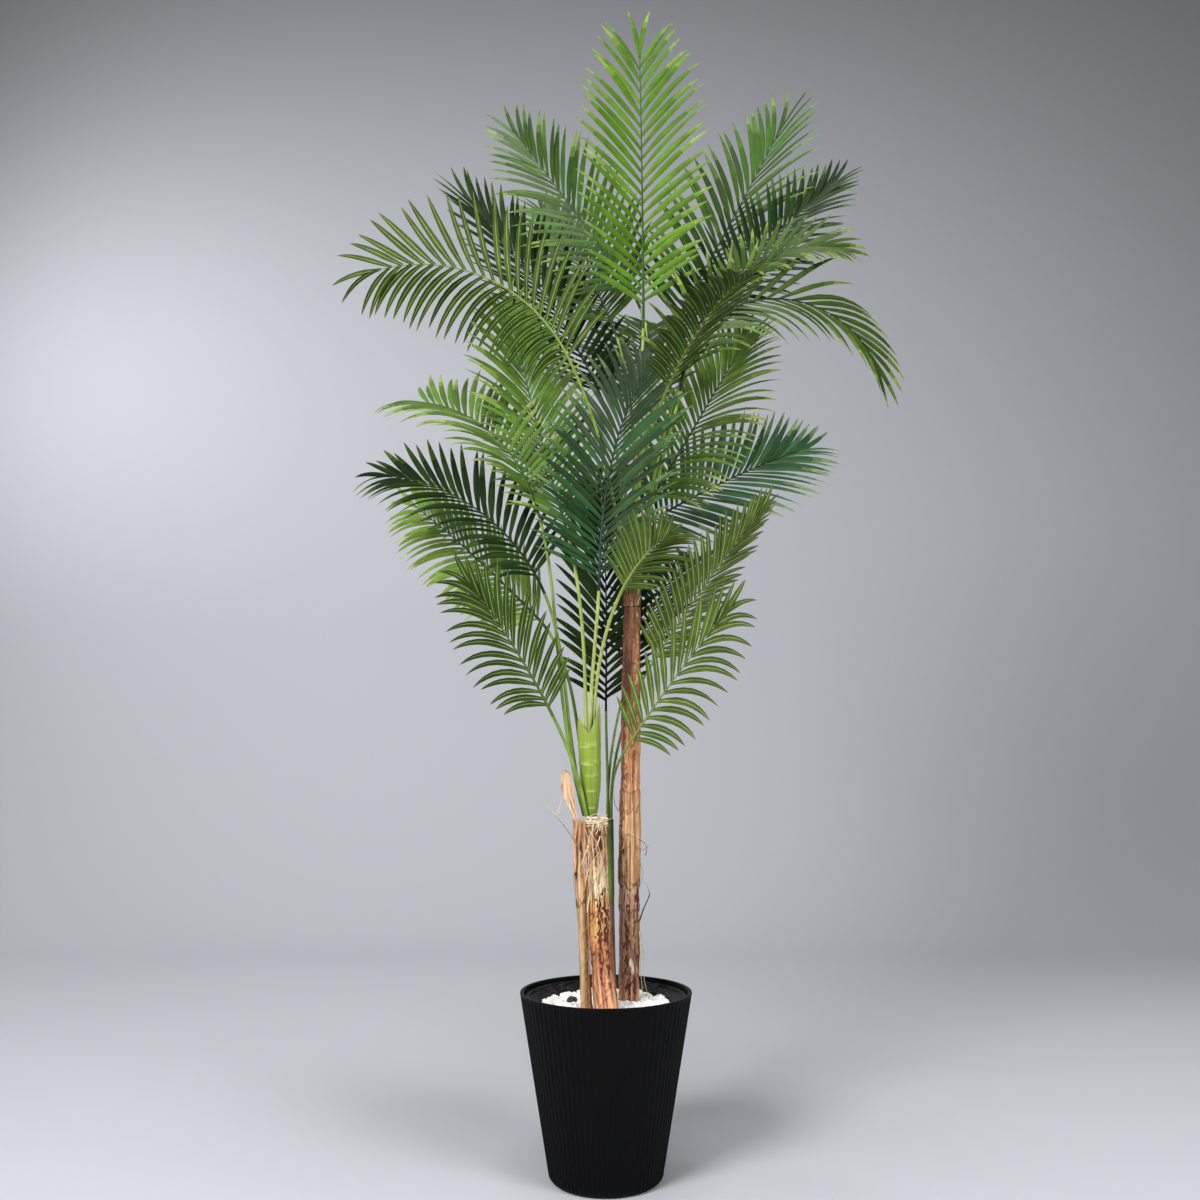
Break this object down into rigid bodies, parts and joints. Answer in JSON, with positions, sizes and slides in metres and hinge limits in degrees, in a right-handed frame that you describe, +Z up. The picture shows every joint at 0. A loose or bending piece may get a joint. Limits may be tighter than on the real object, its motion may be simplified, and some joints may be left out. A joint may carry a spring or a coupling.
{
  "type": "potted artificial areca palm",
  "caption": "Tall artificial areca palm: feather fronds on long stalks rise from bark trunks and a green crownshaft in a tapered, fluted black pot topped with white chips.",
  "frame": {"origin": "centre of the pot's flat underside", "axes": "+Z up along the pot's axis, -Y towards the viewer of the picture, +X to the viewer's right"},
  "size_m": [1.1353, 1.0896, 2.2915],
  "materials": {
    "black_plastic": "matte, fluted",
    "inner_plastic": "satin",
    "cement": "rough",
    "pebbles": "rough broken marble",
    "brown_bark": "rough fibrous bark",
    "beige_bark": "rough fibrous bark",
    "cane": "satin",
    "raffia": "dry fibre",
    "crownshaft": "satin",
    "fibre": "ragged fibre",
    "leaf_bright": "satin moulded leaf",
    "leaf_mid": "satin moulded leaf",
    "leaf_dark": "satin moulded leaf",
    "leaf_olive": "satin moulded leaf",
    "leaf_deep": "satin moulded leaf",
    "leaf_light": "satin moulded leaf"
  },
  "bodies": {
    "root": {"planter": "black_plastic", "liner": "inner_plastic", "cement": "cement", "pebbles": "pebbles", "front_trunk": "brown_bark", "left_trunk": "beige_bark", "tall_trunk": "brown_bark", "green_cane": "cane", "raffia_tie": "raffia", "crownshaft": "crownshaft", "fibre_sheath": "fibre", "frond_top": "leaf_bright", "frond_upper_left": "leaf_mid", "frond_upper_right": "leaf_mid", "frond_right_dark": "leaf_dark", "frond_left_dark": "leaf_dark", "frond_left_arch": "leaf_olive", "frond_left_arch_end": "leaf_olive", "frond_right_weeping": "leaf_dark", "frond_right_weeping_end": "leaf_dark", "frond_right_arch": "leaf_mid", "frond_front_right": "leaf_olive", "frond_front_right_end": "leaf_olive", "frond_middle_right": "leaf_mid", "frond_low_right": "leaf_deep", "frond_back_left": "leaf_mid", "frond_back_right": "leaf_mid", "frond_middle_left": "leaf_light", "frond_centre": "leaf_deep", "frond_small_front": "leaf_bright", "frond_low_left": "leaf_mid", "frond_left_drooping": "leaf_dark", "frond_left_bright": "leaf_bright", "frond_small_left": "leaf_dark", "frond_back_middle": "leaf_dark", "frond_centre_back": "leaf_dark", "frond_small_right": "leaf_mid", "frond_cane_right": "leaf_olive"}
  },
  "joints": []
}
